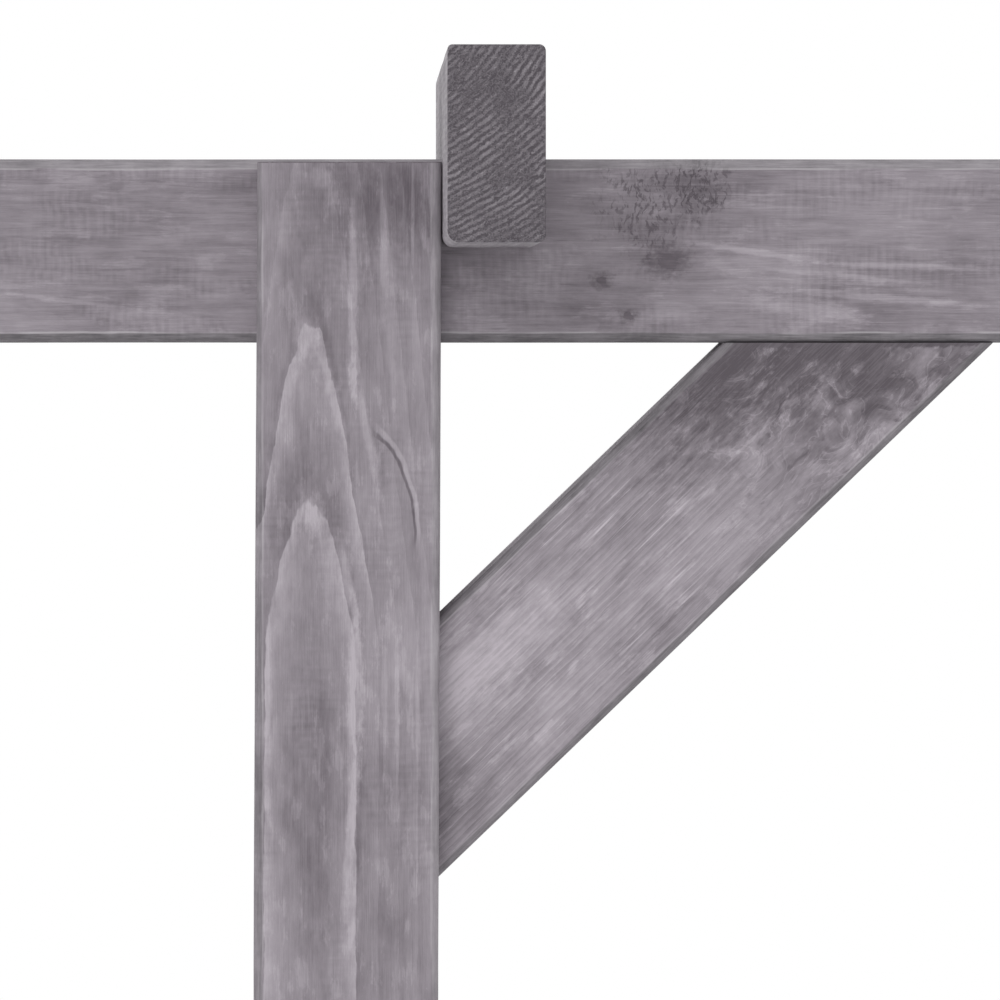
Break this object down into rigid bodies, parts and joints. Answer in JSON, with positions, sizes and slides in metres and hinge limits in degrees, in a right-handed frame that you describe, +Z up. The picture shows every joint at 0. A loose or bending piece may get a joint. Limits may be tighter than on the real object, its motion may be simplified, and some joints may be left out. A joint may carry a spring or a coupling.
{
  "type": "garden pergola",
  "caption": "Single-row wooden garden pergola: square posts carry a beam with short notched crosspieces and a diagonal brace in each corner.",
  "frame": {"origin": "centre of the middle post's foot, on the ground", "axes": "+X along the beam, +Y to the rear, +Z up"},
  "size_m": [4.39, 0.4, 2.203],
  "materials": {
    "post_timber": "grey wash stain, matt",
    "beam_timber": "grey wash stain, matt",
    "brace_timber": "grey wash stain, matt",
    "crosspiece_timber": "grey wash stain, matt"
  },
  "bodies": {
    "root": {"post_left": "post_timber", "post_middle": "post_timber", "post_right": "post_timber", "beam_left": "beam_timber", "beam_right": "beam_timber", "brace_left_end": "brace_timber", "brace_middle_left": "brace_timber", "brace_middle_right": "brace_timber", "brace_right_end": "brace_timber", "crosspiece_1": "crosspiece_timber", "crosspiece_2": "crosspiece_timber", "crosspiece_3": "crosspiece_timber", "crosspiece_4": "crosspiece_timber", "crosspiece_5": "crosspiece_timber", "crosspiece_6": "crosspiece_timber", "crosspiece_7": "crosspiece_timber", "crosspiece_8": "crosspiece_timber", "crosspiece_9": "crosspiece_timber", "crosspiece_10": "crosspiece_timber", "crosspiece_11": "crosspiece_timber", "crosspiece_12": "crosspiece_timber"}
  },
  "joints": []
}
